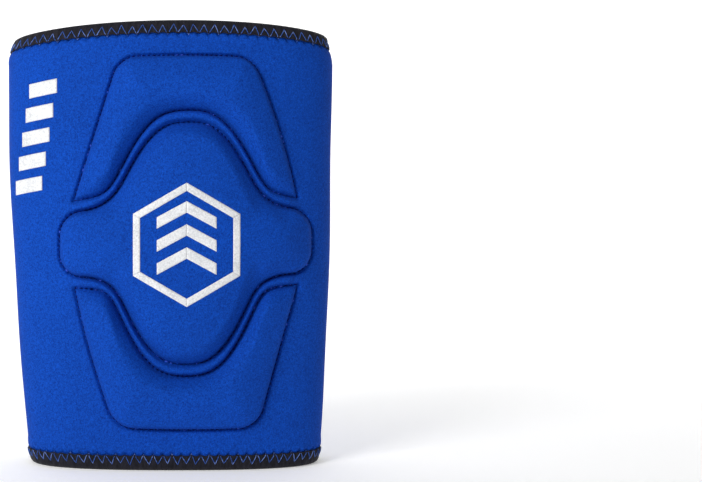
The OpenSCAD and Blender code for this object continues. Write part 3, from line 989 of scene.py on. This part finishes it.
def cut_at_split(name, points, faces, material):
    """The parts of a closed mesh below and above the line where the skin's halves meet."""
    pieces = {}
    for half in ("lower", "upper"):
        piece = mesh_object(f"{name}_{half}", points, faces, material)
        bm = bmesh.new()
        bm.from_mesh(piece.data)
        cut = bmesh.ops.bisect_plane(bm, geom=bm.verts[:] + bm.edges[:] + bm.faces[:],
                                     plane_co=(0, 0, SPLIT_Z * MM), plane_no=(0, 0, 1),
                                     clear_outer=half == "lower", clear_inner=half == "upper")
        edges = [e for e in cut["geom_cut"] if isinstance(e, bmesh.types.BMEdge)]
        bmesh.ops.holes_fill(bm, edges=edges)
        bm.to_mesh(piece.data)
        bm.free()
        pieces[half] = piece
    return pieces


def emblem_bars():
    """A hexagon round three chevrons, as quads of (px, z)."""
    outer, inner = 27.0, 23.4
    half_w, tip_rise, bar_h = 13.0, 7, 5
    bars = []
    corner = [(math.sin(math.radians(a)), math.cos(math.radians(a))) for a in range(0, 360, 60)]
    for p, q in zip(corner, corner[1:] + corner[:1]):
        ends = (inner, p), (inner, q), (outer, q), (outer, p)
        bars.append([(r * c[0], MID_Z + r * c[1]) for r, c in ends])
    for low in (MID_Z - 13.0, MID_Z - 3.0, MID_Z + 7.0):
        left, tip, right = (-half_w, low), (0.0, low + tip_rise), (half_w, low)
        for p, q in ((left, tip), (tip, right)):
            bars.append([p, q, (q[0], q[1] + bar_h), (p[0], p[1] + bar_h)])
    return bars


def make_emblem():
    pile = Pile()
    for bar in emblem_bars():
        print_patch(pile, bar)
    pieces = cut_at_split("emblem", np.vstack(pile.points), pile.faces, PRINT)
    for half, piece in pieces.items():
        bend(piece)
        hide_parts("emblem_print")


def make_side_mark():
    """A ladder of five slanted bars, each a little to the right of the one below."""
    bar_w, bar_h, slant = 13, 6.4, 2
    pile = Pile()
    for i in range(5):
        x, z = -77.5 + 1.73 * i, 123 + 10.8 * i
        right, lift = x + bar_w, z + slant
        print_patch(pile, [(x, z), (right, lift), (right, lift + bar_h), (x, z + bar_h)])
    piece = pile.build("side_mark", PRINT)
    bend(piece)
    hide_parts("side_mark_print")


make_emblem()
make_side_mark()

# ---- Floor, light and camera ----


def make_stage():
    """A pale floor that turns up into a backdrop."""
    s = Shader("stage_white")
    white = s.finish((0.92, 0.92, 0.92, 1), Roughness=0.9, Specular_IOR_Level=0.2,
                     Emission_Color=(1, 1, 1, 1), Emission_Strength=0.3)
    front, half_w, height = -5.0, 5, 2.2
    turn_y, turn_r = 0.5, 0.5
    profile = [(front, 0.0)]
    profile += [(turn_y + turn_r * math.sin(a), turn_r - turn_r * math.cos(a))
                for a in np.linspace(0, math.pi / 2, 13)]
    profile += [(turn_y + turn_r, height)]
    points = [(x / MM, y / MM, z / MM) for y, z in profile for x in (-half_w, half_w)]
    stage = mesh_object("stage", points, grid_faces(len(profile), 2), white)


def area_light(name, place, power, size, aim=(0.0, 0.0, 0.1)):
    data = bpy.data.lights.new(name, "AREA")
    data.energy = power
    data.shape = "SQUARE"
    data.size = size
    lamp = bpy.data.objects.new(name, data)
    lamp.location = place
    lamp.rotation_euler = (Vector(aim) - Vector(place)).to_track_quat("-Z", "Y").to_euler()
    bpy.context.scene.collection.objects.link(lamp)


def make_lights():
    area_light("key", (-0.58, -0.7, 0.5), 6.3, 0.4)
    area_light("fill", (0.2, -1.1, 0.4), 0.6, 0.8)
    area_light("backdrop_left", (-0.5, 0.35, 1.0), 4.0, 0.7, (-0.5, 1.3, 0.5))
    area_light("backdrop_right", (0.5, 0.35, 1.0), 4.0, 0.7, (0.5, 1.3, 0.5))
    world = bpy.data.worlds.new("studio")
    world.use_nodes = True
    background = world.node_tree.nodes["Background"]
    background.inputs["Color"].default_value = (1, 1, 1, 1)
    background.inputs["Strength"].default_value = 0.2
    bpy.context.scene.world = world
    bpy.context.scene.view_settings.view_transform = "Standard"


def make_camera():
    """Straight in front of the sleeve, at half its height; the shift leaves room on the right."""
    distance, seen_width, height, shift = 0.5, 0.3088, 0.1022, 0.257
    rim_front = -(UPPER_HALF_D - SLEEVE_Y) * MM
    data = bpy.data.cameras.new("camera")
    data.sensor_width = 36
    data.lens = data.sensor_width * distance / seen_width
    data.shift_x = shift
    camera = bpy.data.objects.new("camera", data)
    camera.location = (0.0, rim_front - distance, height)
    camera.rotation_euler = (math.pi / 2, 0.0, 0.0)
    bpy.context.scene.collection.objects.link(camera)
    bpy.context.scene.camera = camera


make_stage()
make_lights()
make_camera()
